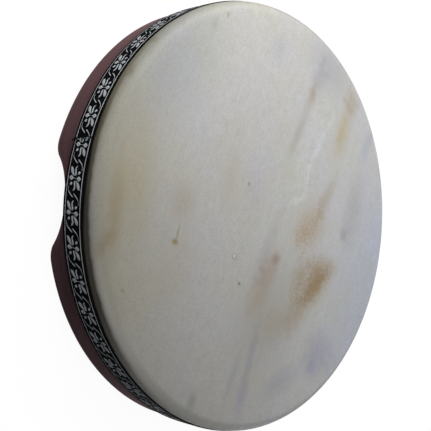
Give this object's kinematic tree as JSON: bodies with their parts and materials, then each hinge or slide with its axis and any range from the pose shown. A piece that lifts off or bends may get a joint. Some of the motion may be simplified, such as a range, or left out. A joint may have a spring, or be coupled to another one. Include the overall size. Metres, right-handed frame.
{
  "type": "bendir frame drum",
  "caption": "Shallow wooden frame drum with a goatskin head, a woven braid round its side, a grip scallop in the rear rim, and gut snares on friction pegs inside.",
  "frame": {"origin": "centre of the rear rim's plane, on the drum's axis; the drum lies on that rim", "axes": "+Z along the drum's axis from the rear rim to the head, -Y through the middle of the grip scallop, X along the snares with the pegs at +X"},
  "size_m": [0.3832, 0.3832, 0.0635],
  "materials": {
    "shell_wood": "stained dark red-brown, rubbed with oil",
    "goatskin": "scraped rawhide, mottled and stained, matt",
    "braid": "black woven braid with a silver leaf and vine pattern",
    "tack_steel": "blued flat tack",
    "block_wood": "planed, oiled",
    "peg_wood": "turned hardwood, polished",
    "gut": "twisted gut",
    "pin_brass": "drawn brass"
  },
  "bodies": {
    "drum": {"shell_hoop": "shell_wood", "skin_head": "goatskin", "trim_braid": "braid", "tack_01": "tack_steel", "tack_02": "tack_steel", "tack_03": "tack_steel", "tack_04": "tack_steel", "tack_05": "tack_steel", "tack_06": "tack_steel", "tack_07": "tack_steel", "tack_08": "tack_steel", "tack_09": "tack_steel", "tack_10": "tack_steel", "tack_11": "tack_steel", "tack_12": "tack_steel", "tack_13": "tack_steel", "tack_14": "tack_steel", "tack_15": "tack_steel", "tack_16": "tack_steel", "tack_17": "tack_steel", "tack_18": "tack_steel", "tack_19": "tack_steel", "tack_20": "tack_steel", "tack_21": "tack_steel", "tack_22": "tack_steel", "tack_23": "tack_steel", "tack_24": "tack_steel", "peg_block": "block_wood", "hitch_block": "block_wood", "snare_string_1": "gut", "snare_string_2": "gut", "hitch_pin_1": "pin_brass", "hitch_pin_2": "pin_brass"},
    "peg_1": {"snare_peg_1": "peg_wood", "snare_winding_1": "gut"},
    "peg_2": {"snare_peg_2": "peg_wood", "snare_winding_2": "gut"}
  },
  "joints": [
    {"name": "peg_1_turn", "type": "hinge", "parent": "drum", "child": "peg_1", "pos_m": [0.16915, 0.01449, 0.046], "axis": [0, 0, 1], "range_deg": [-360, 360]},
    {"name": "peg_2_turn", "type": "hinge", "parent": "drum", "child": "peg_2", "pos_m": [0.16915, -0.01449, 0.046], "axis": [0, 0, -1], "range_deg": [-360, 360]}
  ]
}
